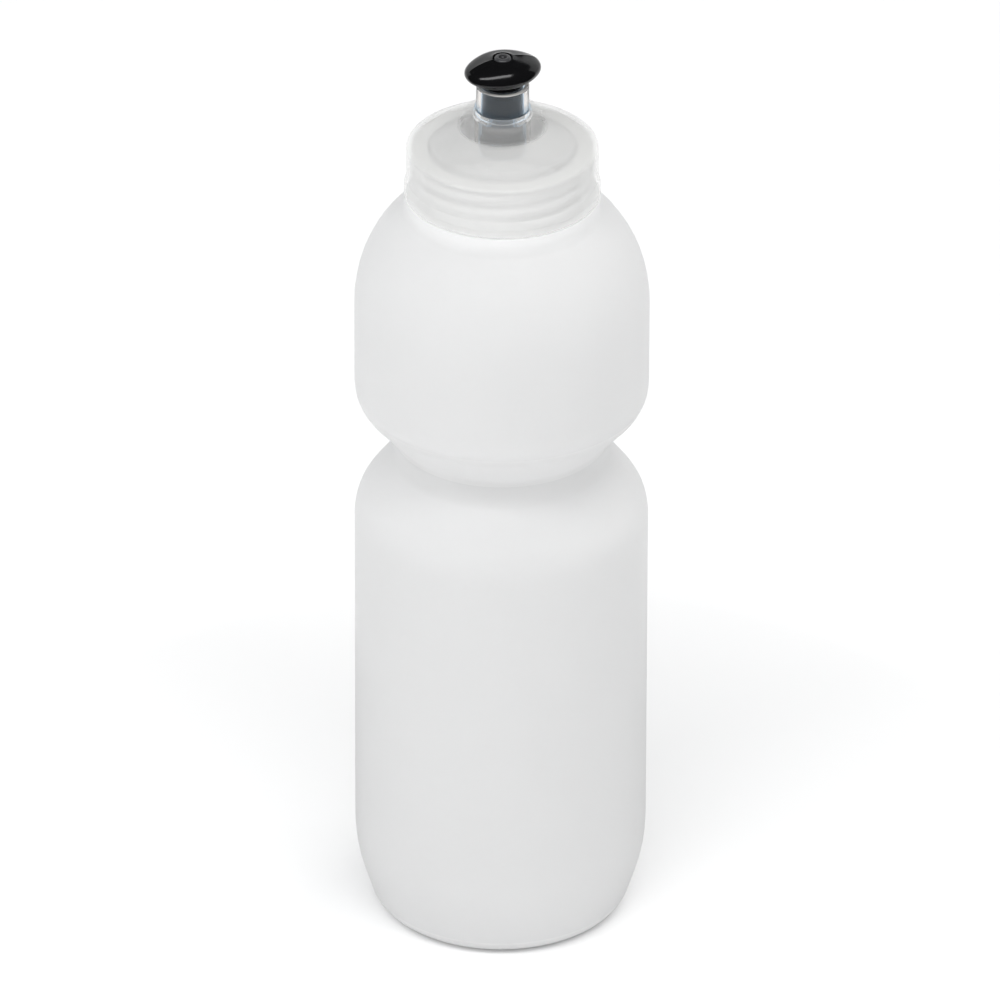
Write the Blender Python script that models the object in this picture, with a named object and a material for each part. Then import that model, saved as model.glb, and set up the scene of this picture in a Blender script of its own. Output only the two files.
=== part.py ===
"""A squeeze bottle for a bicycle's bottle cage, with a screw lid and a push-pull drinking valve.

Sizes are in millimetres and become metres where the meshes are made. The bottle stands on the
origin with its axis along +Z, and its front faces -Y. An outline is a list of corners, each
(radius, height, fillet), that is turned about the axis.
"""

import math

import bmesh
import bpy
from mathutils import Vector

MM = 0.001

# Mesh fineness, where CHORD_DEPTH is how far a chord may lie inside its arc, and the clearance
# between pieces that touch
SEGMENTS = 40
SMALL_SEGMENTS = 28
CHORD_DEPTH = 0.12
SHARP_ANGLE = math.radians(32)
GAP = 0.3

# Bottle body: two barrels of one radius with a waist groove between them
BARREL_R = 36.75
BODY_WALL = 1.2
PUSH_UP = 4.0
PUSH_UP_R = 15.0
FOOT_INNER_R = 24.0
BASE_R = 31.5
BASE_FILLET = 6.0
HEEL_Z = 16.75
HEEL_FILLET = 42.0
LOWER_BARREL_TOP = 116.75
LOWER_FILLET = 14.0
WAIST_R = 24.6
WAIST_Z = 132.7
WAIST_FILLET = 7.0
UPPER_BARREL_BOTTOM = 146.75
UPPER_FILLET = 8.7
SHOULDER_Z = 187.9
SHOULDER_FILLET = 35.0

# Neck
COLLAR_R = 24.2
COLLAR_Z = 200.0
COLLAR_FILLET = 5.0
COLLAR_TOP = 203.7
NECK_R = 21.3
NECK_BORE_R = 19.9
NECK_RIM_Z = 215.3

# Thread: single start, right-handed. Heights are of a ridge's middle at the front of the neck.
PITCH = 3.9
NECK_RIDGE_TOP_Z = 213.9
NECK_RIDGE_TURNS = 2.05
NECK_CREST_R = 22.5
LID_RIDGE_TURNS = 1.6
LID_CREST_R = 21.7
RIDGE_ROOT_WIDTH = 1.7
RIDGE_CREST_WIDTH = 0.9
RIDGE_FADE = math.radians(30)

# Gasket, clamped between the neck's rim and the lid
GASKET_THICKNESS = 0.9
GASKET_INNER_R = 18.6
GASKET_OUTER_R = 22.4

# Screw lid
SKIRT_BOTTOM = 204.15
SKIRT_FLARE_R = 24.43
SKIRT_FLARE_Z = 206.2
SKIRT_R = 23.88
SKIRT_STRAIGHT_Z = 208.4
SKIRT_BORE_R = 22.85
LID_EDGE_Z = 216.9
LID_EDGE_FILLET = 1.0
LID_STEP_R = 21.9
LID_STEP_HEIGHT = 0.25
LID_RING_R = 18.5
LID_RING_Z = 219.8
SEAT_INNER_R = 18.3
LID_WALL = 1.3
BOSS_R = 10.25
BOSS_Z = 222.95
BOSS_TOP_R = 9.75
BOSS_HOLLOW_R = 8.9
BOSS_HOLLOW_TOP_Z = 225.2
BOSS_SHOULDER_Z = 226.2
BOSS_TOP_Z = 228.4

# Spout tube, pushed into the boss from below
TUBE_R = 6.58
TUBE_BORE_R = 5.44
TUBE_RIM_Z = 234.45
TUBE_FOOT_Z = 216.1
TUBE_FOOT_R = 7.0
TUBE_FOOT_TOP = 226.3
TUBE_CHAMBER_R = 5.95
TUBE_CHAMBER_TOP = 227.0
TUBE_LIP_CHAMFER = 0.6

# Centre pin, on a slotted disc at the foot of the tube
PIN_R = 1.6
PIN_PLUG_R = 2.22
PIN_PLUG_Z = 235.6
PIN_TOP_Z = 242.05
PIN_DIMPLE_R = 1.05
PIN_DIMPLE_DEPTH = 0.9
PIN_NIB_R = 0.4
PIN_NIB_DEPTH = 0.1
DISC_THICKNESS = 1.4
SLOT_COUNT = 3
SLOT_INNER_R = 2.5
SLOT_OUTER_R = 4.6
SLOT_ANGLE = math.radians(86)

# Pull valve: a hollow stem with a retaining foot, and an oval head
VALVE_FOOT_R = 5.65
VALVE_FOOT_HEIGHT = 1.9
STEM_R = 5.14
STEM_BORE_R = 3.6
NECKED_R = 4.85
HEAD_HALF_LENGTH = 9.85
HEAD_OVAL = 0.76
HEAD_Z = 238.3
HEAD_RISE = 3.7
HEAD_DROP = 2.6
HEAD_ROUND_R = 4.0
HEAD_TURN = math.radians(24)
CREASE_DEPTH = 0.4
CREASE_WIDTH = 1.2
VALVE_HOLE_R = 2.52
VALVE_HOLE_BOTTOM = 236.6
HEAD_RINGS = 5


def corner(r, z, fillet=0.0):
    return Vector((r, z)), fillet


def turn_between(a, b):
    """Positive where an outline turns left on going from direction a to direction b."""
    return a.x * b.y - a.y * b.x


def arc(point, to_last, to_next, radius):
    """Points of the fillet at one corner, from the side before it to the side after it."""
    half = to_last.angle(to_next) / 2
    centre = point + (to_last + to_next).normalized() * radius / math.sin(half)
    reach = radius / math.tan(half)
    start = point + to_last * reach - centre
    sweep = math.pi - 2 * half
    steps = math.ceil(sweep / (2 * math.acos(1 - min(CHORD_DEPTH / radius, 1))))
    sign = math.copysign(1, turn_between(-to_last, to_next))
    for step in range(steps + 1):
        angle = sign * sweep * step / steps
        cosine, sine = math.cos(angle), math.sin(angle)
        yield centre + Vector((start.x * cosine - start.y * sine, start.x * sine + start.y * cosine))


def rounded(corners, closed=True):
    """The outline through the corners, with every fillet as an arc."""
    outline = []
    for i, (point, fillet) in enumerate(corners):
        if fillet == 0 or (not closed and i in (0, len(corners) - 1)):
            outline.append(point)
            continue
        to_last = (corners[i - 1][0] - point).normalized()
        to_next = (corners[(i + 1) % len(corners)][0] - point).normalized()
        outline.extend(arc(point, to_last, to_next, fillet))
    return outline


def inset(corners, depth):
    """The corners of the parallel outline that lies depth to the left of an open one."""
    points = [point for point, _ in corners]
    sides = [(b - a).normalized() for a, b in zip(points, points[1:])]
    normals = [Vector((-side.y, side.x)) for side in sides]
    moved = [corner(points[0].x, points[0].y + depth)]
    for i in range(1, len(points) - 1):
        before, after = normals[i - 1], normals[i]
        shift = (before + after) * depth / (1 + before.dot(after))
        sign = math.copysign(1, turn_between(sides[i - 1], sides[i]))
        fillet = max(corners[i][1] - sign * depth, 0)
        moved.append((points[i] + shift, fillet))
    moved.append((points[-1] + normals[-1] * depth, 0))
    return moved


def height_at(first, second, r):
    """Height at radius r on the straight line through two corners."""
    a, b = first[0], second[0]
    return a.y + (b.y - a.y) * (r - a.x) / (b.x - a.x)


def material(name, colour, roughness, alpha=1.0):
    made = bpy.data.materials.new(name)
    made.use_nodes = True
    shader = made.node_tree.nodes["Principled BSDF"]
    shader.inputs["Base Color"].default_value = (*colour, 1.0)
    shader.inputs["Roughness"].default_value = roughness
    shader.inputs["Metallic"].default_value = 0.0
    shader.inputs["Alpha"].default_value = alpha
    return made


def add_object(name, mesh_data, seat=0.0):
    mesh = bpy.data.meshes.new(name)
    mesh_data.to_mesh(mesh)
    mesh_data.free()
    made = bpy.data.objects.new(name, mesh)
    made.location.z = seat * MM
    bpy.context.scene.collection.objects.link(made)
    mesh.shade_smooth()
    mesh.set_sharp_from_angle(angle=SHARP_ANGLE)
    return made


def spun(outline, seat, segments=SEGMENTS, closed=True, angle=math.tau):
    """A mesh in the making: the outline turned about the Z axis, with its heights counted from seat."""
    made = bmesh.new()
    points = [made.verts.new((p.x * MM, 0, (p.y - seat) * MM)) for p in outline]
    ends = points[1:] + points[:1] if closed else points[1:]
    edges = [made.edges.new(pair) for pair in zip(points, ends)]
    whole = angle == math.tau
    bmesh.ops.spin(
        made, geom=points + edges, cent=(0, 0, 0), axis=(0, 0, 1),
        angle=angle, steps=segments, use_merge=whole,
    )
    if not whole:
        bmesh.ops.holes_fill(made, edges=[edge for edge in made.edges if edge.is_boundary])
    bmesh.ops.remove_doubles(made, verts=made.verts[:], dist=0.001 * MM)
    bmesh.ops.recalc_face_normals(made, faces=made.faces[:])
    return made


def combine(target, operand, operation):
    """Adds or cuts the operand, which stays in the scene as a hidden helper."""
    operand.hide_render = True
    operand.display_type = "WIRE"
    modifier = target.modifiers.new(operand.name, "BOOLEAN")
    modifier.operation = operation
    modifier.solver = "EXACT"
    modifier.object = operand


def thread_ridge(name, surface_r, crest_r, middle_z, first_angle, turns):
    """A helical ridge that stands on the wall at surface_r and fades into it at both ends.

    middle_z is the height of its middle at the front (angle 0), however many turns away.
    """
    outward = math.copysign(1, crest_r - surface_r)
    root_r = surface_r - 0.5 * outward
    sunk_r = surface_r - 0.2 * outward
    made = bmesh.new()
    sections = []
    steps = round(turns * SEGMENTS)
    for step in range(steps + 1):
        along = step * math.tau / SEGMENTS
        angle = first_angle + along
        fade = min(1.0, along / RIDGE_FADE, (steps * math.tau / SEGMENTS - along) / RIDGE_FADE)
        crest = sunk_r + (crest_r - sunk_r) * fade
        z = middle_z + PITCH * angle / math.tau
        section = []
        for r, offset in (
            (root_r, -RIDGE_ROOT_WIDTH / 2),
            (crest, -RIDGE_CREST_WIDTH / 2),
            (crest, RIDGE_CREST_WIDTH / 2),
            (root_r, RIDGE_ROOT_WIDTH / 2),
        ):
            place = (r * math.sin(angle) * MM, -r * math.cos(angle) * MM, (z + offset) * MM)
            section.append(made.verts.new(place))
        sections.append(section)
    for a, b in zip(sections, sections[1:]):
        for i in range(4):
            j = (i + 1) % 4
            made.faces.new((a[i], a[j], b[j], b[i]))
    made.faces.new(sections[0])
    made.faces.new(sections[-1])
    bmesh.ops.recalc_face_normals(made, faces=made.faces[:])
    return add_object(name, made)


def body_corners():
    """The bottle's outside, from the middle of its base to the top of the collar."""
    return [
        corner(0, PUSH_UP),
        corner(PUSH_UP_R, PUSH_UP, 12),
        corner(FOOT_INNER_R, 0, 1.5),
        corner(BASE_R, 0, BASE_FILLET),
        corner(BARREL_R, HEEL_Z, HEEL_FILLET),
        corner(BARREL_R, LOWER_BARREL_TOP, LOWER_FILLET),
        corner(WAIST_R, WAIST_Z, WAIST_FILLET),
        corner(BARREL_R, UPPER_BARREL_BOTTOM, UPPER_FILLET),
        corner(BARREL_R, SHOULDER_Z, SHOULDER_FILLET),
        corner(COLLAR_R, COLLAR_Z, COLLAR_FILLET),
        corner(COLLAR_R, COLLAR_TOP, 0.4),
    ]


def bottle_body():
    """One shell: base, barrels, waist, shoulder and threaded neck."""
    outside = body_corners()
    neck = [
        corner(NECK_R, COLLAR_TOP, 0.4),
        corner(NECK_R, NECK_RIM_Z, 0.4),
        corner(NECK_BORE_R, NECK_RIM_Z, 0.4),
    ]
    inner = inset(outside, BODY_WALL)
    shoulder, collar = inner[8], inner[9]
    bore_foot = corner(NECK_BORE_R, height_at(shoulder, collar, NECK_BORE_R), 4)
    inside = [bore_foot, *reversed(inner[:9])]
    made = add_object("bottle_body", spun(rounded([*outside, *neck, *inside], False), 0, closed=False))
    last_angle = math.radians(20)
    first_angle = last_angle - NECK_RIDGE_TURNS * math.tau
    ridge = thread_ridge(
        "neck_thread_form", NECK_R, NECK_CREST_R, NECK_RIDGE_TOP_Z, first_angle, NECK_RIDGE_TURNS
    )
    combine(made, ridge, "UNION")
    made.data.materials.append(material("frosted_polyethylene", (0.86, 0.87, 0.87), 0.42, 0.6))
    return made


def lid_gasket():
    """A flat ring on the neck's rim."""
    bottom = NECK_RIM_Z + GAP
    top = bottom + GASKET_THICKNESS
    outline = rounded([
        corner(GASKET_OUTER_R, top),
        corner(GASKET_OUTER_R, bottom),
        corner(GASKET_INNER_R, bottom),
        corner(GASKET_INNER_R, top),
    ])
    made = add_object("lid_gasket", spun(outline, bottom), bottom)
    made.data.materials.append(material("white_silicone", (0.82, 0.82, 0.8), 0.55))
    return made


def lid_corners():
    """The lid's section, from the skirt's outer foot over the top and back along the inside."""
    edge = corner(SKIRT_R, LID_EDGE_Z, LID_EDGE_FILLET)
    ring = corner(LID_RING_R, LID_RING_Z, 1.5)
    boss = corner(BOSS_R, BOSS_Z, 0.8)
    step_z = height_at(edge, ring, LID_STEP_R)
    lid_slope = math.atan2(BOSS_Z - LID_RING_Z, LID_RING_R - BOSS_R)
    drop = LID_WALL / math.cos(lid_slope)
    foot_bore_r = TUBE_FOOT_R + GAP
    seat_z = NECK_RIM_Z + GASKET_THICKNESS + 2 * GAP
    return [
        corner(SKIRT_FLARE_R, SKIRT_BOTTOM, 0.3),
        corner(SKIRT_FLARE_R, SKIRT_FLARE_Z, 0.8),
        corner(SKIRT_R, SKIRT_STRAIGHT_Z, 1.5),
        edge,
        corner(LID_STEP_R + 0.15, step_z - 0.08),
        corner(LID_STEP_R - 0.15, step_z + LID_STEP_HEIGHT),
        ring,
        boss,
        corner(BOSS_TOP_R, BOSS_SHOULDER_Z, 1.2),
        corner(TUBE_R + GAP, BOSS_TOP_Z, 0.2),
        corner(TUBE_R + GAP, TUBE_FOOT_TOP + GAP),
        corner(foot_bore_r, TUBE_FOOT_TOP + GAP),
        corner(foot_bore_r, BOSS_HOLLOW_TOP_Z + 0.6),
        corner(BOSS_HOLLOW_R, BOSS_HOLLOW_TOP_Z, 0.8),
        corner(BOSS_HOLLOW_R, height_at(ring, boss, BOSS_HOLLOW_R) - drop, 0.5),
        corner(SEAT_INNER_R, height_at(ring, boss, SEAT_INNER_R) - drop, 0.5),
        corner(SEAT_INNER_R, seat_z, 0.2),
        corner(SKIRT_BORE_R, seat_z, 0.4),
        corner(SKIRT_BORE_R, SKIRT_BOTTOM, 0.3),
    ]


def screw_lid():
    """A cap with an inside thread, a low conical top and the boss that holds the spout tube."""
    made = add_object("screw_lid", spun(rounded(lid_corners()), SKIRT_BOTTOM), SKIRT_BOTTOM)
    last_angle = math.radians(200)
    first_angle = last_angle - LID_RIDGE_TURNS * math.tau
    ridge = thread_ridge(
        "lid_thread_form", SKIRT_BORE_R, LID_CREST_R, NECK_RIDGE_TOP_Z - 1.5 * PITCH,
        first_angle + math.tau, LID_RIDGE_TURNS,
    )
    combine(made, ridge, "UNION")
    made.data.materials.append(material("hazy_polypropylene", (0.84, 0.85, 0.85), 0.25, 0.45))
    return made


def spout_tube():
    """A clear tube with a wider foot outside, and a lip inside that keeps the valve in."""
    outline = rounded([
        corner(TUBE_FOOT_R, TUBE_FOOT_Z, 0.3),
        corner(TUBE_FOOT_R, TUBE_FOOT_TOP),
        corner(TUBE_R, TUBE_FOOT_TOP),
        corner(TUBE_R, TUBE_RIM_Z, 0.45),
        corner(TUBE_BORE_R, TUBE_RIM_Z, 0.45),
        corner(TUBE_BORE_R, TUBE_CHAMBER_TOP + TUBE_LIP_CHAMFER),
        corner(TUBE_CHAMBER_R, TUBE_CHAMBER_TOP),
        corner(TUBE_CHAMBER_R, TUBE_FOOT_Z),
    ])
    made = add_object("spout_tube", spun(outline, TUBE_FOOT_Z, SMALL_SEGMENTS), TUBE_FOOT_Z)
    made.data.materials.append(material("clear_polypropylene", (0.9, 0.92, 0.93), 0.06, 0.25))
    return made


def centre_pin():
    """A pin whose plug closes the valve's hole, on a disc with slots that let the drink past."""
    disc_top = TUBE_FOOT_Z + DISC_THICKNESS
    disc_r = TUBE_CHAMBER_R - GAP
    outline = rounded([
        corner(0, TUBE_FOOT_Z),
        corner(disc_r, TUBE_FOOT_Z),
        corner(disc_r, disc_top),
        corner(PIN_R, disc_top, 0.5),
        corner(PIN_R, PIN_PLUG_Z - 0.8),
        corner(PIN_PLUG_R, PIN_PLUG_Z),
        corner(PIN_PLUG_R, PIN_TOP_Z, 0.8),
        corner(PIN_DIMPLE_R, PIN_TOP_Z, 0.15),
        corner(PIN_DIMPLE_R - 0.15, PIN_TOP_Z - PIN_DIMPLE_DEPTH, 0.15),
        corner(PIN_NIB_R, PIN_TOP_Z - PIN_DIMPLE_DEPTH, 0.1),
        corner(0, PIN_TOP_Z - PIN_NIB_DEPTH),
    ], closed=False)
    mesh = spun(outline, TUBE_FOOT_Z, SMALL_SEGMENTS, closed=False)
    made = add_object("centre_pin", mesh, TUBE_FOOT_Z)
    slot = rounded([
        corner(SLOT_OUTER_R, disc_top + 1),
        corner(SLOT_OUTER_R, TUBE_FOOT_Z - 1),
        corner(SLOT_INNER_R, TUBE_FOOT_Z - 1),
        corner(SLOT_INNER_R, disc_top + 1),
    ])
    for i in range(SLOT_COUNT):
        form = add_object(f"flow_slot_form_{i + 1}", spun(slot, 0, 8, angle=SLOT_ANGLE))
        form.rotation_euler.z = i * math.tau / SLOT_COUNT
        combine(made, form, "DIFFERENCE")
    made.data.materials.append(material("grey_polypropylene", (0.1, 0.1, 0.104), 0.2))
    return made


def head_outline():
    """The head's section along its long axis, from the neck under it to the edge of the hole."""
    outline = []
    for ring in range(1, HEAD_RINGS):
        angle = math.pi / 2 * (1 - ring / HEAD_RINGS)
        r = NECKED_R + (HEAD_HALF_LENGTH - NECKED_R) * math.cos(angle)
        outline.append(Vector((r, HEAD_Z - HEAD_DROP * math.sin(angle))))
    for ring in range(HEAD_RINGS + 1):
        angle = math.pi / 2 * ring / HEAD_RINGS
        r = HEAD_HALF_LENGTH * math.cos(angle)
        if r > VALVE_HOLE_R + 0.3:
            outline.append(Vector((r, HEAD_Z + HEAD_RISE * math.sin(angle))))
    top = HEAD_Z + HEAD_RISE * math.sqrt(1 - (VALVE_HOLE_R / HEAD_HALF_LENGTH) ** 2)
    return [*outline, Vector((VALVE_HOLE_R + 0.15, top)), Vector((VALVE_HOLE_R, top - 0.15))]


def make_oval(mesh):
    """Narrows the head across Y, and folds its top along X into a low crease."""
    for vertex in mesh.verts:
        r = math.hypot(vertex.co.x, vertex.co.y) / MM
        outward = (r - HEAD_ROUND_R) / (HEAD_HALF_LENGTH - HEAD_ROUND_R)
        share = max(0.0, min(1.0, outward))
        vertex.co.y *= 1 - (1 - HEAD_OVAL) * share * share * (3 - 2 * share)
        z = vertex.co.z / MM + TUBE_FOOT_Z
        if z > HEAD_Z and r > VALVE_HOLE_R:
            height = (z - HEAD_Z) / HEAD_RISE
            reach = min(1.0, r - VALVE_HOLE_R)
            fall = 1 - math.exp(-abs(vertex.co.y) / MM / CREASE_WIDTH)
            vertex.co.z -= CREASE_DEPTH * MM * fall * height * reach


def pull_valve():
    """A hollow stem that slides in the spout tube, its foot kept under the tube's lip."""
    foot_z = TUBE_FOOT_Z + DISC_THICKNESS + GAP
    foot_top = foot_z + VALVE_FOOT_HEIGHT
    stem = rounded([
        corner(VALVE_FOOT_R, foot_z, 0.3),
        corner(VALVE_FOOT_R, foot_top, 0.3),
        corner(STEM_R, foot_top + 0.5),
        corner(STEM_R, TUBE_RIM_Z + 0.2, 0.3),
        corner(NECKED_R, TUBE_RIM_Z + 0.8, 0.3),
        corner(NECKED_R, HEAD_Z - HEAD_DROP),
    ], closed=False)
    bore = rounded([
        corner(VALVE_HOLE_R, VALVE_HOLE_BOTTOM),
        corner(STEM_BORE_R, VALVE_HOLE_BOTTOM - 0.8),
        corner(STEM_BORE_R, foot_z),
    ], closed=False)
    mesh = spun([*stem, *head_outline(), *bore], TUBE_FOOT_Z, SMALL_SEGMENTS)
    make_oval(mesh)
    made = add_object("pull_valve", mesh, TUBE_FOOT_Z)
    made.rotation_euler.z = HEAD_TURN
    made.data.materials.append(material("black_polyethylene", (0.005, 0.005, 0.0055), 0.15))
    return made


def main():
    for old in list(bpy.data.objects):
        bpy.data.objects.remove(old, do_unlink=True)
    bottle_body()
    lid_gasket()
    screw_lid()
    spout_tube()
    centre_pin()
    pull_valve()


main()
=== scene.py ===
"""The looks of the water bottle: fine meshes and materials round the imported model.

Sizes are in millimetres and become metres where the meshes are made. The bottle stands on the
origin with its axis along +Z, and its front faces -Y. Every piece is an outline of
(radius, height) points turned about the axis, and stands for the CAD node of the same shape.
"""

import math

import bmesh
import bpy
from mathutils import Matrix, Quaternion, Vector

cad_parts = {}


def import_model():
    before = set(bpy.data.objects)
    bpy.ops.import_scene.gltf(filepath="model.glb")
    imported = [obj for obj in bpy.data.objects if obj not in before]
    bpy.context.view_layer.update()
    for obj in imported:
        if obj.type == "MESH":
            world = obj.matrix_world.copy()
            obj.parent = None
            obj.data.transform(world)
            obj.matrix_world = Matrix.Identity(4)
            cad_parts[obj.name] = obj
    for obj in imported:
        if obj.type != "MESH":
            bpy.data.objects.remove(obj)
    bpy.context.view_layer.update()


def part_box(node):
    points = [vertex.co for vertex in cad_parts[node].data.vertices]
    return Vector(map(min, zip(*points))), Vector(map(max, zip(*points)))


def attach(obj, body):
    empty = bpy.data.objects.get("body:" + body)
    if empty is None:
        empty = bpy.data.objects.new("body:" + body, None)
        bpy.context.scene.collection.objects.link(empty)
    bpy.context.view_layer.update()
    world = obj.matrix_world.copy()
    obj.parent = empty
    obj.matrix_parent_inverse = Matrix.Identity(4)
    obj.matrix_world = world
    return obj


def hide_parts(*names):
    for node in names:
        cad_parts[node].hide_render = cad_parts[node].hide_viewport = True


MM = 0.001

# Mesh fineness
ARC_STEP = math.radians(5)
SEGMENTS = 160
SMALL_SEGMENTS = 96
THREAD_STEP = 0.14
SHARP_ANGLE = math.radians(40)
GAP = 0.3

# Bottle body
BODY_WALL = 1.2
PUSH_UP = 4.0
PUSH_UP_R = 15.0
FOOT_INNER_R = 24.0
BASE_R = 31.5
HEEL_Z = 16.75
LOWER_BARREL_TOP = 116.75
WAIST_R = 24.6
WAIST_Z = 132.7
UPPER_BARREL_BOTTOM = 146.75
SHOULDER_Z = 187.9
COLLAR_R = 24.2
COLLAR_Z = 200.0
COLLAR_TOP = 203.7
NECK_R = 21.3
NECK_BORE_R = 19.9
SEAM_HEIGHT = 0.07
SEAM_HALF_WIDTH = 0.35
SEAM_STEPS = (-1.1, -0.55, 0.55, 1.1)  # degrees from a seam to the extra points beside it

# Thread: single start, right-handed. Heights are of a ridge's middle at the front.
PITCH = 3.9
NECK_RIDGE_TOP_Z = 213.9
NECK_RIDGE_TURNS = 2.05
NECK_RIDGE_END = math.radians(20)
NECK_CREST = 1.2
LID_RIDGE_Z = NECK_RIDGE_TOP_Z - 1.5 * PITCH
LID_RIDGE_TURNS = 1.6
LID_RIDGE_END = math.radians(560)
LID_CREST = 1.15
RIDGE_ROOT_HALF = 0.95
RIDGE_CREST_HALF = 0.4
RIDGE_FADE = math.radians(30)

# Screw lid
SKIRT_FLARE_Z = 206.2
SKIRT_R = 23.88
SKIRT_STRAIGHT_Z = 208.4
SKIRT_BORE_R = 22.85
LID_EDGE_Z = 216.9
LID_STEP_R = 21.9
LID_STEP_HALF_WIDTH = 0.15
LID_STEP_DIP = 0.08
LID_STEP_HEIGHT = 0.25
LID_RING_R = 18.5
LID_RING_Z = 219.8
SEAT_INNER_R = 18.3
LID_WALL = 1.3
LID_BORE_R = 7.6
BOSS_R = 10.25
BOSS_Z = 222.95
BOSS_TOP_R = 9.75
BOSS_HOLLOW_R = 8.9
BOSS_HOLLOW_TOP_Z = 225.2
BOSS_SHOULDER_Z = 226.2

# Haze of the lid: how much its outer and inner skins cover and how rough they are, each at two
# radii and changing smoothly between them. The skirt's haze is added to both.
OUTER_HAZE_R = (10.3, 11.5)
OUTER_HAZE = (0.17, 0.36)
OUTER_ROUGHNESS = (0.1, 0.22)
INNER_HAZE_R = (9.1, 11)
INNER_HAZE = (0.1, 0.34)
INNER_ROUGHNESS = (0.06, 0.15)
SKIRT_HAZE_R = (20, 23.5)
SKIRT_HAZE = 0.02
LID_COLOUR = (0.92, 0.92, 0.91)

# Spout tube
TUBE_R = 6.58
TUBE_BORE_R = 5.44
TUBE_FOOT_TOP = 226.3
TUBE_CHAMBER_R = 5.95
TUBE_CHAMBER_TOP = 227.0

# Centre pin
PIN_R = 1.6
PIN_PLUG_R = 2.22
PIN_PLUG_Z = 235.6
PIN_DIMPLE_R = 1.05
PIN_DIMPLE_DEPTH = 0.9
PIN_NIB_R = 0.4
PIN_NIB_DEPTH = 0.1
DISC_THICKNESS = 1.4
SLOT_COUNT = 3
SLOT_INNER_R = 2.5
SLOT_OUTER_R = 4.6
SLOT_ANGLE = math.radians(86)

# Pull valve
VALVE_FOOT_HEIGHT = 1.9
STEM_R = 5.14
STEM_BORE_R = 3.6
NECKED_R = 4.85
HEAD_HALF_LENGTH = 9.85
HEAD_OVAL = 0.76
HEAD_Z = 238.3
HEAD_RISE = 3.7
HEAD_DROP = 2.6
HEAD_ROUND_R = 4.0
HEAD_TURN = math.radians(24)
CREASE_DEPTH = 0.4
CREASE_WIDTH = 1.2
VALVE_HOLE_R = 2.52
VALVE_HOLE_BOTTOM = 236.6

# Patterns of the materials, in cells a metre, with how each is drawn out. The depth is in metres.
GRAIN = 3000
DRAWN_GRAIN = 2500
DRAWN_STRETCH = (1, 1, 0.2)
RELIEF = 60
RELIEF_STRETCH = (1, 1, 0.15)
RELIEF_STRENGTH = 0.1
RELIEF_DEPTH = 0.0005

# Studio, in metres and watts. A light has a name, an azimuth and an elevation in degrees, its
# two sizes, its power and its colour, and glossy surfaces mirror it or don't.
WORLD_COLOUR = (0.985, 0.993, 1, 1)
WORLD_STRENGTH = 0.65
LIGHT_DISTANCE = 2.6
LIGHTS = (
    ("main_softbox", -6, 60, (3.4, 0.68), 36, (1, 1, 1), True),
    ("front_fill", -15, 30, (1.5, 1.5), 8.5, (1, 1, 1), False),
    ("left_fill", -80, 20, (1.3, 1.3), 3, (0.98, 0.99, 1), False),
    ("top_fill", 120, 62, (1.3, 1.3), 11, (1, 0.985, 0.965), False),
)
STAGE_R = 8.0
BACKDROP_HEIGHT = 5.6
BACKDROP_INNER_R = 0.15
BACKDROP_LIFT = 0.0002
BACKDROP_HALF_ANGLE = math.radians(75)
BACKDROP_STEPS = 48

# Camera, aimed at the bottle's axis
CAMERA_ELEVATION = math.radians(30.5)
CAMERA_DISTANCE = 4.2
CAMERA_TARGET_Z = 0.115
CAMERA_LENS = 602.7
CAMERA_SENSOR = 36
CAMERA_ROLL = math.radians(0.17)
CAMERA_SHIFT = (-0.00142, -0.00024)


def corner(r, z, fillet=0.0):
    """A corner of an outline, with the radius of its fillet."""
    return Vector((r, z)), fillet


def turn_between(a, b):
    """Positive where an outline turns left on going from direction a to direction b."""
    return a.x * b.y - a.y * b.x


def arc(point, to_last, to_next, radius):
    """Points of the fillet at one corner, from the side before it to the side after it."""
    half = to_last.angle(to_next) / 2
    centre = point + (to_last + to_next).normalized() * radius / math.sin(half)
    start = point + to_last * radius / math.tan(half) - centre
    sweep = math.pi - 2 * half
    steps = max(3, math.ceil(sweep / ARC_STEP))
    sign = math.copysign(1, turn_between(-to_last, to_next))
    for step in range(steps + 1):
        angle = sign * sweep * step / steps
        cosine, sine = math.cos(angle), math.sin(angle)
        yield centre + Vector((start.x * cosine - start.y * sine, start.x * sine + start.y * cosine))


def rounded(corners, closed=True):
    """The outline through the corners, with every fillet as an arc."""
    outline = []
    for i, (point, fillet) in enumerate(corners):
        if fillet == 0 or (not closed and i in (0, len(corners) - 1)):
            outline.append(point)
            continue
        to_last = (corners[i - 1][0] - point).normalized()
        to_next = (corners[(i + 1) % len(corners)][0] - point).normalized()
        outline.extend(arc(point, to_last, to_next, fillet))
    return outline


def inset(corners, depth):
    """The corners of the parallel outline that lies depth to the left of an open one."""
    points = [point for point, _ in corners]
    sides = [(b - a).normalized() for a, b in zip(points, points[1:])]
    normals = [Vector((-side.y, side.x)) for side in sides]
    moved = [corner(points[0].x, points[0].y + depth)]
    for i in range(1, len(points) - 1):
        before, after = normals[i - 1], normals[i]
        shift = (before + after) * depth / (1 + before.dot(after))
        sign = math.copysign(1, turn_between(sides[i - 1], sides[i]))
        fillet = max(corners[i][1] - sign * depth, 0)
        moved.append((points[i] + shift, fillet))
    moved.append((points[-1] + normals[-1] * depth, 0))
    return moved


def height_at(first, second, r):
    """Height at radius r on the straight line through two corners."""
    a, b = first[0], second[0]
    return a.y + (b.y - a.y) * (r - a.x) / (b.x - a.x)


def divided(outline, step, low, high, closed=True):
    """The outline with its stretches between two heights cut to at most step long."""
    ends = outline[1:] + outline[:1] if closed else outline[1:]
    made = []
    for a, b in zip(outline, ends):
        made.append(a)
        if min(a.y, b.y) >= low - 0.01 and max(a.y, b.y) <= high + 0.01:
            count = math.ceil((b - a).length / step)
            made.extend(a.lerp(b, i / count) for i in range(1, count))
    if not closed:
        made.append(outline[-1])
    return made


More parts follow.
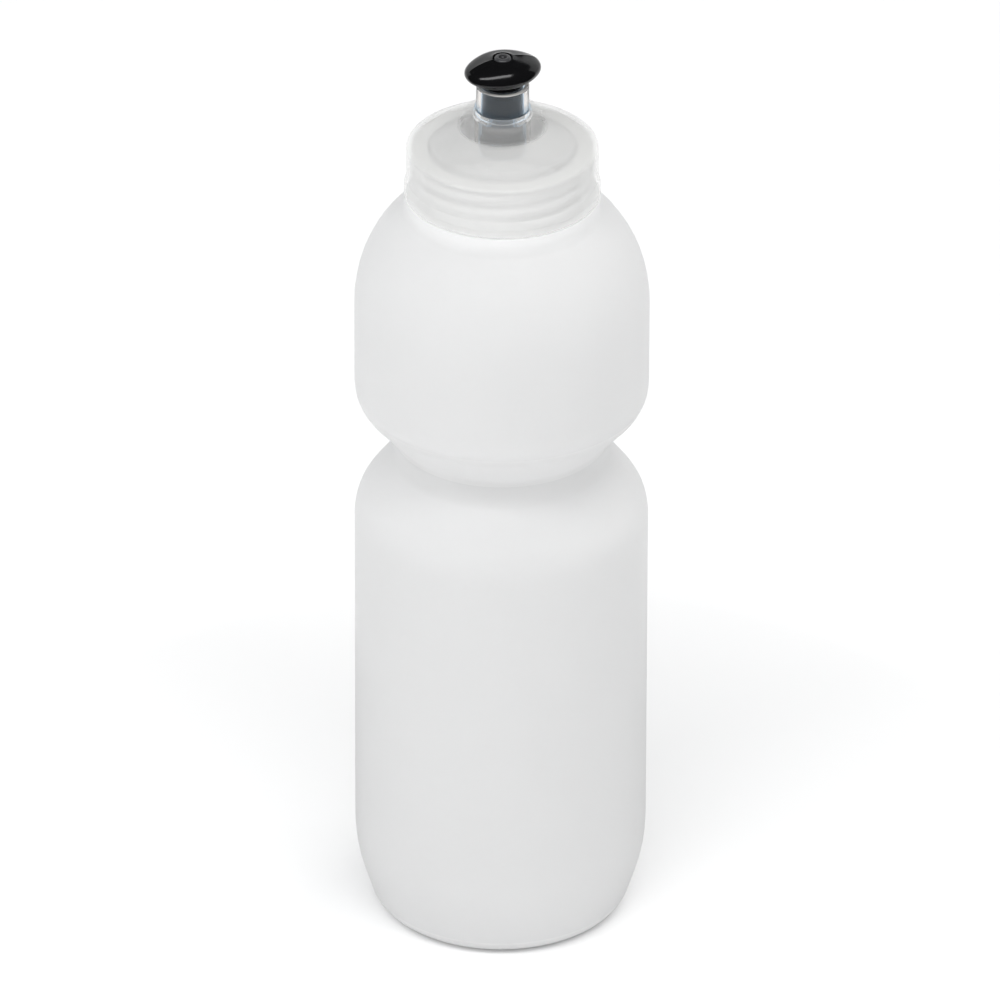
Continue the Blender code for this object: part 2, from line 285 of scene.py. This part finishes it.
def smooth(x):
    """A soft step from 0 to 1."""
    x = max(0.0, min(1.0, x))
    return x * x * (3 - 2 * x)


def ridge_share(z, angle, middle_z, first_angle, turns):
    """How far a helical ridge stands out at a point, from 0 to 1."""
    last_angle = first_angle + turns * math.tau
    along = angle + math.ceil((first_angle - angle) / math.tau) * math.tau
    share = 0.0
    while along < last_angle:
        away = abs(z - middle_z - PITCH * along / math.tau)
        flank = (RIDGE_ROOT_HALF - away) / (RIDGE_ROOT_HALF - RIDGE_CREST_HALF)
        fade = smooth(min(along - first_angle, last_angle - along) / RIDGE_FADE)
        share = max(share, smooth(flank) * fade)
        along += math.tau
    return share


def even_angles(count):
    return [i * math.tau / count for i in range(count)]


def turned(name, outline, angles, closed=True, form=None):
    """An object made by turning an outline about Z. Angles count from the front towards +X.

    form, where given, takes (r, z, angle) and returns the point's own radius and height.
    """
    made = bmesh.new()
    rings = []
    for point in outline:
        if point.x < 1e-6:
            rings.append([made.verts.new((0, 0, point.y * MM))])
            continue
        ring = []
        for angle in angles:
            r, z = form(point.x, point.y, angle) if form else (point.x, point.y)
            ring.append(made.verts.new((r * math.sin(angle) * MM, -r * math.cos(angle) * MM, z * MM)))
        rings.append(ring)
    pairs = list(zip(rings, rings[1:]))
    if closed:
        pairs.append((rings[-1], rings[0]))
    for a, b in pairs:
        for i in range(len(angles)):
            j = (i + 1) % len(angles)
            corners = [a[i % len(a)], a[j % len(a)], b[j % len(b)], b[i % len(b)]]
            made.faces.new(dict.fromkeys(corners))
    bmesh.ops.recalc_face_normals(made, faces=made.faces[:])
    mesh = bpy.data.meshes.new(name)
    made.to_mesh(mesh)
    made.free()
    mesh.shade_smooth()
    mesh.set_sharp_from_angle(angle=SHARP_ANGLE)
    piece = bpy.data.objects.new(name, mesh)
    bpy.context.scene.collection.objects.link(piece)
    return piece


def body_corners():
    """The bottle's outside, from the middle of its base to the top of the collar."""
    barrel_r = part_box("bottle_body")[1].x / MM
    return [
        corner(0, PUSH_UP),
        corner(PUSH_UP_R, PUSH_UP, 12),
        corner(FOOT_INNER_R, 0, 1.5),
        corner(BASE_R, 0, 6),
        corner(barrel_r, HEEL_Z, 42),
        corner(barrel_r, LOWER_BARREL_TOP, 14),
        corner(WAIST_R, WAIST_Z, 7),
        corner(barrel_r, UPPER_BARREL_BOTTOM, 8.7),
        corner(barrel_r, SHOULDER_Z, 35),
        corner(COLLAR_R, COLLAR_Z, 5),
        corner(COLLAR_R, COLLAR_TOP, 0.4),
    ]


def body_angles():
    """Even angles, with more beside the two mould seams at +X and -X."""
    angles = even_angles(SEGMENTS)
    for seam in (math.tau / 4, 3 * math.tau / 4):
        angles.extend(seam + math.radians(step) for step in SEAM_STEPS)
    return sorted(angles)


def seam_share(r, angle):
    """How far the mould's seam at +X and -X stands out, from 0 to 1."""
    away = abs(math.remainder(angle - math.tau / 4, math.pi))
    return smooth(1 - r * away / SEAM_HALF_WIDTH)


def bottle_form(r, z, angle):
    """Raises the thread on the neck, and a faint seam down both sides of the walls."""
    first_angle = NECK_RIDGE_END - NECK_RIDGE_TURNS * math.tau
    if abs(r - NECK_R) < 0.01 and z > COLLAR_TOP:
        share = ridge_share(z, angle, NECK_RIDGE_TOP_Z, first_angle, NECK_RIDGE_TURNS)
        return r + NECK_CREST * share, z
    if r > COLLAR_R - BODY_WALL and z < COLLAR_TOP:
        return r + SEAM_HEIGHT * seam_share(r, angle), z
    return r, z


def bottle():
    outside = body_corners()
    rim_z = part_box("bottle_body")[1].z / MM
    neck = [
        corner(NECK_R, COLLAR_TOP, 0.4),
        corner(NECK_R, rim_z, 0.4),
        corner(NECK_BORE_R, rim_z, 0.4),
    ]
    inner = inset(outside, BODY_WALL)
    shoulder, collar = inner[8], inner[9]
    bore_foot = corner(NECK_BORE_R, height_at(shoulder, collar, NECK_BORE_R), 4)
    inside = [bore_foot, *reversed(inner[:9])]
    outline = rounded([*outside, *neck, *inside], False)
    outline = divided(outline, THREAD_STEP, COLLAR_TOP + 0.3, rim_z - 0.3, False)
    piece = turned("bottle", outline, body_angles(), False, bottle_form)
    skin = body_material("frosted_polyethylene", (0.92, 0.922, 0.924))
    finish_piece(piece, "bottle", "bottle_body", skin)
    # A brighter copy of the polyethylene goes on the faces that look inward or down, such as under the
    # upper barrel: painted light that lifts the shade inside the bottle and under its overhangs.
    lining = body_material("frosted_polyethylene_painted_fill_light", (0.99, 0.99, 0.99))
    repaint(piece, lining, looks_inside)


def gasket():
    low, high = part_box("lid_gasket")
    outer = high.x / MM
    inner = SEAT_INNER_R + GAP
    outline = rounded([
        corner(outer, high.z / MM, 0.2),
        corner(outer, low.z / MM, 0.2),
        corner(inner, low.z / MM, 0.2),
        corner(inner, high.z / MM, 0.2),
    ])
    piece = turned("gasket", outline, even_angles(SEGMENTS))
    finish_piece(piece, "gasket", "lid_gasket", gasket_material())


def lid_corners():
    """The lid's section, from the skirt's outer foot over the top and back along the inside."""
    low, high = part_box("screw_lid")
    bottom, top = low.z / MM, high.z / MM
    edge = corner(SKIRT_R, LID_EDGE_Z, 1.0)
    ring = corner(LID_RING_R, LID_RING_Z, 1.5)
    boss = corner(BOSS_R, BOSS_Z, 0.8)
    step_z = height_at(edge, ring, LID_STEP_R)
    lid_slope = math.atan2(BOSS_Z - LID_RING_Z, LID_RING_R - BOSS_R)
    drop = LID_WALL / math.cos(lid_slope)
    foot_bore_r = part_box("spout_tube")[1].x / MM + GAP
    seat_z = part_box("lid_gasket")[1].z / MM + GAP
    return [
        corner(high.x / MM, bottom, 0.3),
        corner(high.x / MM, SKIRT_FLARE_Z, 0.8),
        corner(SKIRT_R, SKIRT_STRAIGHT_Z, 1.5),
        edge,
        corner(LID_STEP_R + LID_STEP_HALF_WIDTH, step_z - LID_STEP_DIP),
        corner(LID_STEP_R - LID_STEP_HALF_WIDTH, step_z + LID_STEP_HEIGHT),
        ring,
        boss,
        corner(BOSS_TOP_R, BOSS_SHOULDER_Z, 1.2),
        corner(TUBE_R + GAP, top, 0.2),
        corner(TUBE_R + GAP, TUBE_FOOT_TOP + GAP),
        corner(foot_bore_r, TUBE_FOOT_TOP + GAP),
        corner(foot_bore_r, BOSS_HOLLOW_TOP_Z + 0.6, 0.2),
        corner(BOSS_HOLLOW_R, BOSS_HOLLOW_TOP_Z, 0.8),
        corner(BOSS_HOLLOW_R, height_at(ring, boss, BOSS_HOLLOW_R) - drop, 0.5),
        corner(SEAT_INNER_R, height_at(ring, boss, SEAT_INNER_R) - drop, 0.5),
        corner(SEAT_INNER_R, seat_z, 0.2),
        corner(SKIRT_BORE_R, seat_z, 0.4),
        corner(SKIRT_BORE_R, bottom, 0.3),
    ]


def lid_form(r, z, angle):
    """Raises the thread on the skirt's inside."""
    if abs(r - SKIRT_BORE_R) > 0.01:
        return r, z
    first_angle = LID_RIDGE_END - LID_RIDGE_TURNS * math.tau
    share = ridge_share(z, angle, LID_RIDGE_Z, first_angle, LID_RIDGE_TURNS)
    return r - LID_CREST * share, z


def lid():
    low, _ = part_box("screw_lid")
    outline = rounded(lid_corners())
    outline = divided(outline, THREAD_STEP, low.z / MM + 0.3, LID_EDGE_Z - 0.4)
    piece = turned("lid", outline, even_angles(SEGMENTS), True, lid_form)
    skin = lid_skin("hazy_polypropylene", OUTER_HAZE_R, OUTER_HAZE, OUTER_ROUGHNESS)
    finish_piece(piece, "lid", "screw_lid", skin)
    lining = lid_skin("matt_polypropylene", INNER_HAZE_R, INNER_HAZE, INNER_ROUGHNESS)
    repaint(piece, lining, looks_inside)
    repaint(piece, bore_material(), in_bore)


def tube():
    low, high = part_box("spout_tube")
    foot, rim = low.z / MM, high.z / MM
    outline = rounded([
        corner(high.x / MM, foot, 0.3),
        corner(high.x / MM, TUBE_FOOT_TOP),
        corner(TUBE_R, TUBE_FOOT_TOP),
        corner(TUBE_R, rim, 0.45),
        corner(TUBE_BORE_R, rim, 0.45),
        corner(TUBE_BORE_R, TUBE_CHAMBER_TOP + 0.6),
        corner(TUBE_CHAMBER_R, TUBE_CHAMBER_TOP),
        corner(TUBE_CHAMBER_R, foot),
    ])
    piece = turned("tube", outline, even_angles(SMALL_SEGMENTS))
    finish_piece(piece, "lid", "spout_tube", tube_material())
    repaint(piece, bore_material(), in_bore)
    repaint(piece, rim_material(), looks_up)


def slot_former(low, high, number):
    """A solid with the shape of one slot in the pin's disc."""
    outline = rounded([
        corner(SLOT_OUTER_R, high, 0.3),
        corner(SLOT_OUTER_R, low, 0.3),
        corner(SLOT_INNER_R, low, 0.3),
        corner(SLOT_INNER_R, high, 0.3),
    ])
    made = bmesh.new()
    points = [made.verts.new((p.x * MM, 0, p.y * MM)) for p in outline]
    face = made.faces.new(points)
    bmesh.ops.spin(
        made, geom=[face, *face.edges, *points], cent=(0, 0, 0), axis=(0, 0, 1),
        angle=SLOT_ANGLE, steps=24,
    )
    bmesh.ops.recalc_face_normals(made, faces=made.faces[:])
    mesh = bpy.data.meshes.new("slot_former")
    made.to_mesh(mesh)
    made.free()
    former = bpy.data.objects.new("slot_former", mesh)
    former.rotation_euler.z = number * math.tau / SLOT_COUNT
    bpy.context.scene.collection.objects.link(former)
    return former


def cut(piece, formers):
    """Cuts the formers from the piece and removes them."""
    for former in formers:
        modifier = piece.modifiers.new("cut", "BOOLEAN")
        modifier.operation = "DIFFERENCE"
        modifier.solver = "EXACT"
        modifier.object = former
    evaluated = piece.evaluated_get(bpy.context.evaluated_depsgraph_get())
    mesh = bpy.data.meshes.new_from_object(evaluated)
    piece.modifiers.clear()
    piece.data = mesh
    for former in formers:
        bpy.data.objects.remove(former, do_unlink=True)


def pin():
    low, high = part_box("centre_pin")
    foot, top = low.z / MM, high.z / MM
    disc_top = foot + DISC_THICKNESS
    outline = rounded([
        corner(0, foot),
        corner(high.x / MM, foot, 0.2),
        corner(high.x / MM, disc_top, 0.2),
        corner(PIN_R, disc_top, 0.5),
        corner(PIN_R, PIN_PLUG_Z - 0.8, 0.3),
        corner(PIN_PLUG_R, PIN_PLUG_Z, 0.3),
        corner(PIN_PLUG_R, top, 0.8),
        corner(PIN_DIMPLE_R, top, 0.15),
        corner(PIN_DIMPLE_R - 0.15, top - PIN_DIMPLE_DEPTH, 0.15),
        corner(PIN_NIB_R, top - PIN_DIMPLE_DEPTH, 0.1),
        corner(PIN_NIB_R, top - PIN_NIB_DEPTH, 0.15),
        corner(0, top - PIN_NIB_DEPTH),
    ], closed=False)
    piece = turned("pin", outline, even_angles(SMALL_SEGMENTS), False)
    cut(piece, [slot_former(foot - 1, disc_top + 1, i) for i in range(SLOT_COUNT)])
    finish_piece(piece, "lid", "centre_pin", pin_material())


def head_outline():
    """The head's section along its long axis, from the neck under it to the edge of the hole."""
    rings = 16
    outline = []
    for ring in range(1, rings):
        angle = math.pi / 2 * (1 - ring / rings)
        r = NECKED_R + (HEAD_HALF_LENGTH - NECKED_R) * math.cos(angle)
        outline.append(Vector((r, HEAD_Z - HEAD_DROP * math.sin(angle))))
    for ring in range(rings + 1):
        angle = math.pi / 2 * ring / rings
        r = HEAD_HALF_LENGTH * math.cos(angle)
        if r > VALVE_HOLE_R + 0.3:
            outline.append(Vector((r, HEAD_Z + HEAD_RISE * math.sin(angle))))
    top = HEAD_Z + HEAD_RISE * math.sqrt(1 - (VALVE_HOLE_R / HEAD_HALF_LENGTH) ** 2)
    return [*outline, Vector((VALVE_HOLE_R + 0.15, top)), Vector((VALVE_HOLE_R, top - 0.15))]


def make_oval(mesh):
    """Narrows the head across Y, and folds its top along X into a low crease."""
    for vertex in mesh.vertices:
        r = math.hypot(vertex.co.x, vertex.co.y) / MM
        share = smooth((r - HEAD_ROUND_R) / (HEAD_HALF_LENGTH - HEAD_ROUND_R))
        vertex.co.y *= 1 - (1 - HEAD_OVAL) * share
        z = vertex.co.z / MM
        if z > HEAD_Z and r > VALVE_HOLE_R:
            height = (z - HEAD_Z) / HEAD_RISE
            reach = min(1.0, r - VALVE_HOLE_R)
            fall = 1 - math.exp(-abs(vertex.co.y) / MM / CREASE_WIDTH)
            vertex.co.z -= CREASE_DEPTH * MM * fall * height * reach
    for edge in mesh.edges:
        ends = [mesh.vertices[i].co for i in edge.vertices]
        on_crease = all(abs(end.y) < 1e-6 and end.z > HEAD_Z * MM for end in ends)
        edge.use_edge_sharp = edge.use_edge_sharp or on_crease


def valve():
    low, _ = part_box("pull_valve")
    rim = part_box("spout_tube")[1].z / MM
    foot = low.z / MM
    foot_top = foot + VALVE_FOOT_HEIGHT
    foot_r = TUBE_CHAMBER_R - GAP
    stem = rounded([
        corner(foot_r, foot, 0.3),
        corner(foot_r, foot_top, 0.3),
        corner(STEM_R, foot_top + 0.5),
        corner(STEM_R, rim + 0.2, 0.3),
        corner(NECKED_R, rim + 0.8, 0.3),
        corner(NECKED_R, HEAD_Z - HEAD_DROP),
    ], closed=False)
    bore = rounded([
        corner(VALVE_HOLE_R, VALVE_HOLE_BOTTOM),
        corner(STEM_BORE_R, VALVE_HOLE_BOTTOM - 0.8),
        corner(STEM_BORE_R, foot),
    ], closed=False)
    piece = turned("valve", [*stem, *head_outline(), *bore], even_angles(SEGMENTS))
    make_oval(piece.data)
    piece.rotation_euler.z = HEAD_TURN
    finish_piece(piece, "valve", "pull_valve", valve_material())


def finish_piece(piece, body, node, material):
    """Gives the piece its material, ties it to its body, and hides the CAD node that it stands for."""
    piece.data.materials.append(material)
    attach(piece, body)
    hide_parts(node)


def new_material(name, colour, **values):
    """A material, its tree and its Principled shader. The values are the shader's inputs."""
    made = bpy.data.materials.new(name)
    made.use_nodes = True
    tree = made.node_tree
    shader = tree.nodes["Principled BSDF"]
    shader.inputs["Base Color"].default_value = (*colour, 1)
    for key, value in values.items():
        shader.inputs[key.replace("_", " ").title().replace("Ior", "IOR")].default_value = value
    return made, tree, shader


def noise(tree, scale, detail=3.0, stretch=(1, 1, 1)):
    """A noise texture in the object's own space, its pattern drawn out by stretch."""
    place = tree.nodes.new("ShaderNodeTexCoord")
    mapping = tree.nodes.new("ShaderNodeMapping")
    mapping.inputs["Scale"].default_value = stretch
    texture = tree.nodes.new("ShaderNodeTexNoise")
    texture.inputs["Scale"].default_value = scale
    texture.inputs["Detail"].default_value = detail
    tree.links.new(place.outputs["Object"], mapping.inputs["Vector"])
    tree.links.new(mapping.outputs["Vector"], texture.inputs["Vector"])
    return texture.outputs["Fac"]


def ranged(tree, value, low, high):
    """The value's range 0.3 to 0.7, where noise mostly lies, spread from low to high."""
    node = tree.nodes.new("ShaderNodeMapRange")
    node.inputs["From Min"].default_value = 0.3
    node.inputs["From Max"].default_value = 0.7
    node.inputs["To Min"].default_value = low
    node.inputs["To Max"].default_value = high
    tree.links.new(value, node.inputs["Value"])
    return node.outputs["Result"]


def roughened(tree, shader, value, low, high):
    """Varies the roughness from low to high with the value."""
    tree.links.new(ranged(tree, value, low, high), shader.inputs["Roughness"])


def bumped(tree, shader, value, strength, distance):
    """Raises the surface by the value, for shading only."""
    node = tree.nodes.new("ShaderNodeBump")
    node.inputs["Strength"].default_value = strength
    node.inputs["Distance"].default_value = distance
    tree.links.new(value, node.inputs["Height"])
    tree.links.new(node.outputs["Normal"], shader.inputs["Normal"])


def body_material(name, colour):
    """Frosted polyethylene that light spreads in, with faint upright relief from the blowing."""
    made, tree, shader = new_material(
        name, colour, roughness=0.5, ior=1.5, specular_ior_level=0.15, alpha=0.9,
        subsurface_weight=1.0, subsurface_scale=0.004, subsurface_radius=(1, 1, 1),
    )
    roughened(tree, shader, noise(tree, GRAIN, 4), 0.45, 0.55)
    bumped(tree, shader, noise(tree, RELIEF, 3, RELIEF_STRETCH), RELIEF_STRENGTH, RELIEF_DEPTH)
    return made


def gasket_material():
    made, tree, shader = new_material("white_silicone", (0.6, 0.6, 0.59), roughness=0.5)
    roughened(tree, shader, noise(tree, GRAIN), 0.45, 0.6)
    return made


def from_axis(tree, radii, values):
    """A value that changes smoothly between two distances from the bottle's axis."""
    place = tree.nodes.new("ShaderNodeTexCoord")
    flat = tree.nodes.new("ShaderNodeVectorMath")
    flat.operation = "MULTIPLY"
    flat.inputs[1].default_value = (1, 1, 0)
    length = tree.nodes.new("ShaderNodeVectorMath")
    length.operation = "LENGTH"
    node = tree.nodes.new("ShaderNodeMapRange")
    node.interpolation_type = "SMOOTHSTEP"
    node.inputs["From Min"].default_value = radii[0] * MM
    node.inputs["From Max"].default_value = radii[1] * MM
    node.inputs["To Min"].default_value = values[0]
    node.inputs["To Max"].default_value = values[1]
    tree.links.new(place.outputs["Object"], flat.inputs[0])
    tree.links.new(flat.outputs["Vector"], length.inputs[0])
    tree.links.new(length.outputs["Value"], node.inputs["Value"])
    return node.outputs["Result"]


def combined(tree, operation, first, second):
    """Two values put together by a math node."""
    node = tree.nodes.new("ShaderNodeMath")
    node.operation = operation
    tree.links.new(first, node.inputs[0])
    tree.links.new(second, node.inputs[1])
    return node.outputs["Value"]


def lid_skin(name, haze_r, haze, roughness):
    """Polypropylene that is clear near the axis and hazier and rougher further out."""
    made, tree, shader = new_material(name, LID_COLOUR, ior=1.49)
    skirt = from_axis(tree, SKIRT_HAZE_R, (0, SKIRT_HAZE))
    cover = combined(tree, "ADD", from_axis(tree, haze_r, haze), skirt)
    tree.links.new(cover, shader.inputs["Alpha"])
    grain = ranged(tree, noise(tree, GRAIN), 0.85, 1.15)
    rough = combined(tree, "MULTIPLY", from_axis(tree, haze_r, roughness), grain)
    tree.links.new(rough, shader.inputs["Roughness"])
    return made


def clear_material(name, colour, clearness):
    """Clear polypropylene, with the faint upright grain of its mould."""
    made, tree, shader = new_material(
        name, colour, roughness=0.05, ior=1.49, transmission_weight=clearness,
    )
    roughened(tree, shader, noise(tree, DRAWN_GRAIN, 3, DRAWN_STRETCH), 0.03, 0.07)
    return made


def bore_material():
    """Clear polypropylene tinted blue: the tint is a painted reflection of cool light, which shows
    against the black stem.
    """
    return clear_material("clear_polypropylene_painted_blue_reflection", (0.55, 0.77, 1), 0.98)


def tube_material():
    return clear_material("clear_polypropylene", (0.86, 0.83, 0.8), 0.985)


def rim_material():
    """Polypropylene left dull by the mould, as on the tube's rim."""
    made, tree, shader = new_material(
        "dull_polypropylene", (0.8, 0.77, 0.74), roughness=0.2, ior=1.49, transmission_weight=0.45,
    )
    roughened(tree, shader, noise(tree, GRAIN), 0.15, 0.25)
    return made


def pin_material():
    made, tree, shader = new_material("grey_polypropylene", (0.05, 0.05, 0.053), roughness=0.18)
    roughened(tree, shader, noise(tree, GRAIN), 0.15, 0.22)
    return made


def valve_material():
    made, tree, shader = new_material("black_polyethylene", (0.005, 0.005, 0.0055), roughness=0.14)
    roughened(tree, shader, noise(tree, GRAIN), 0.12, 0.17)
    return made


def repaint(piece, material, chosen):
    """Gives another material to the faces that the chosen test picks."""
    piece.data.materials.append(material)
    index = len(piece.data.materials) - 1
    for face in piece.data.polygons:
        if chosen(face):
            face.material_index = index


def looks_inside(face):
    """Whether a face looks down or towards the axis."""
    inward = -face.normal.xy.dot(face.center.xy.normalized())
    return max(inward, -face.normal.z) > 0.3


def looks_up(face):
    return face.normal.z > 0.4


def in_bore(face):
    """Whether a face looks towards the axis and lies no further out than the boss's bore."""
    centre = face.center.xy
    return centre.length < LID_BORE_R * MM and face.normal.xy.dot(centre) < -0.5 * centre.length


def stage_piece(name, made, material):
    """Makes an object of the surroundings from a bmesh."""
    mesh = bpy.data.meshes.new(name)
    made.to_mesh(mesh)
    made.free()
    mesh.materials.append(material)
    piece = bpy.data.objects.new(name, mesh)
    bpy.context.scene.collection.objects.link(piece)
    return piece


def floor():
    """White paper, which glossy surfaces don't mirror."""
    made = bmesh.new()
    bmesh.ops.create_circle(made, cap_ends=True, segments=96, radius=STAGE_R)
    material, _, _ = new_material("white_floor", (0.92, 0.92, 0.92), roughness=0.9)
    stage_piece("floor", made, material).visible_glossy = False


def backdrop():
    """White paper behind the bottle and up the wall there, which only its glossy pieces show."""
    made = bmesh.new()
    posts = []
    for step in range(BACKDROP_STEPS + 1):
        angle = BACKDROP_HALF_ANGLE * (2 * step / BACKDROP_STEPS - 1)
        route = (BACKDROP_INNER_R, BACKDROP_LIFT), (STAGE_R, BACKDROP_LIFT), (STAGE_R, BACKDROP_HEIGHT)
        posts.append([made.verts.new((r * math.sin(angle), r * math.cos(angle), z)) for r, z in route])
    for a, b in zip(posts, posts[1:]):
        for i in range(2):
            made.faces.new((a[i], b[i], b[i + 1], a[i + 1]))
    material, _, _ = new_material("white_backdrop", (0.97, 0.97, 0.97), roughness=0.9)
    piece = stage_piece("backdrop", made, material)
    piece.visible_camera = False
    piece.visible_diffuse = False
    piece.visible_transmission = False
    piece.visible_shadow = False


def softbox(name, azimuth, elevation, size, power, colour, mirrored):
    """A light aimed at the bottle. Azimuth 0 is in front of it and 90 is to its right."""
    data = bpy.data.lights.new(name, "AREA")
    data.shape = "RECTANGLE"
    data.size, data.size_y = size
    data.energy = power
    data.color = colour
    light = bpy.data.objects.new(name, data)
    a, e = math.radians(azimuth), math.radians(elevation)
    away = Vector((math.sin(a) * math.cos(e), -math.cos(a) * math.cos(e), math.sin(e)))
    light.location = Vector((0, 0, CAMERA_TARGET_Z)) + away * LIGHT_DISTANCE
    light.rotation_mode = "QUATERNION"
    light.rotation_quaternion = away.to_track_quat("Z", "Y")
    light.visible_glossy = mirrored
    bpy.context.scene.collection.objects.link(light)


def world():
    """Even soft light from all round, which glossy surfaces don't mirror."""
    made = bpy.data.worlds.new("studio")
    made.use_nodes = True
    background = made.node_tree.nodes["Background"]
    background.inputs["Color"].default_value = WORLD_COLOUR
    background.inputs["Strength"].default_value = WORLD_STRENGTH
    made.cycles_visibility.glossy = False
    bpy.context.scene.world = made


def camera():
    data = bpy.data.cameras.new("camera")
    data.lens = CAMERA_LENS
    data.sensor_width = CAMERA_SENSOR
    data.shift_x, data.shift_y = CAMERA_SHIFT
    data.clip_start, data.clip_end = 0.1, 50
    made = bpy.data.objects.new("camera", data)
    back = Vector((0, -math.cos(CAMERA_ELEVATION), math.sin(CAMERA_ELEVATION)))
    made.location = Vector((0, 0, CAMERA_TARGET_Z)) + back * CAMERA_DISTANCE
    made.rotation_mode = "QUATERNION"
    roll = Quaternion((0, 0, 1), CAMERA_ROLL)
    made.rotation_quaternion = (-back).to_track_quat("-Z", "Y") @ roll
    bpy.context.scene.collection.objects.link(made)
    bpy.context.scene.camera = made


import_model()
bpy.context.scene.view_settings.view_transform = "Standard"
bottle()
gasket()
lid()
tube()
pin()
valve()
floor()
backdrop()
for light in LIGHTS:
    softbox(*light)
world()
camera()
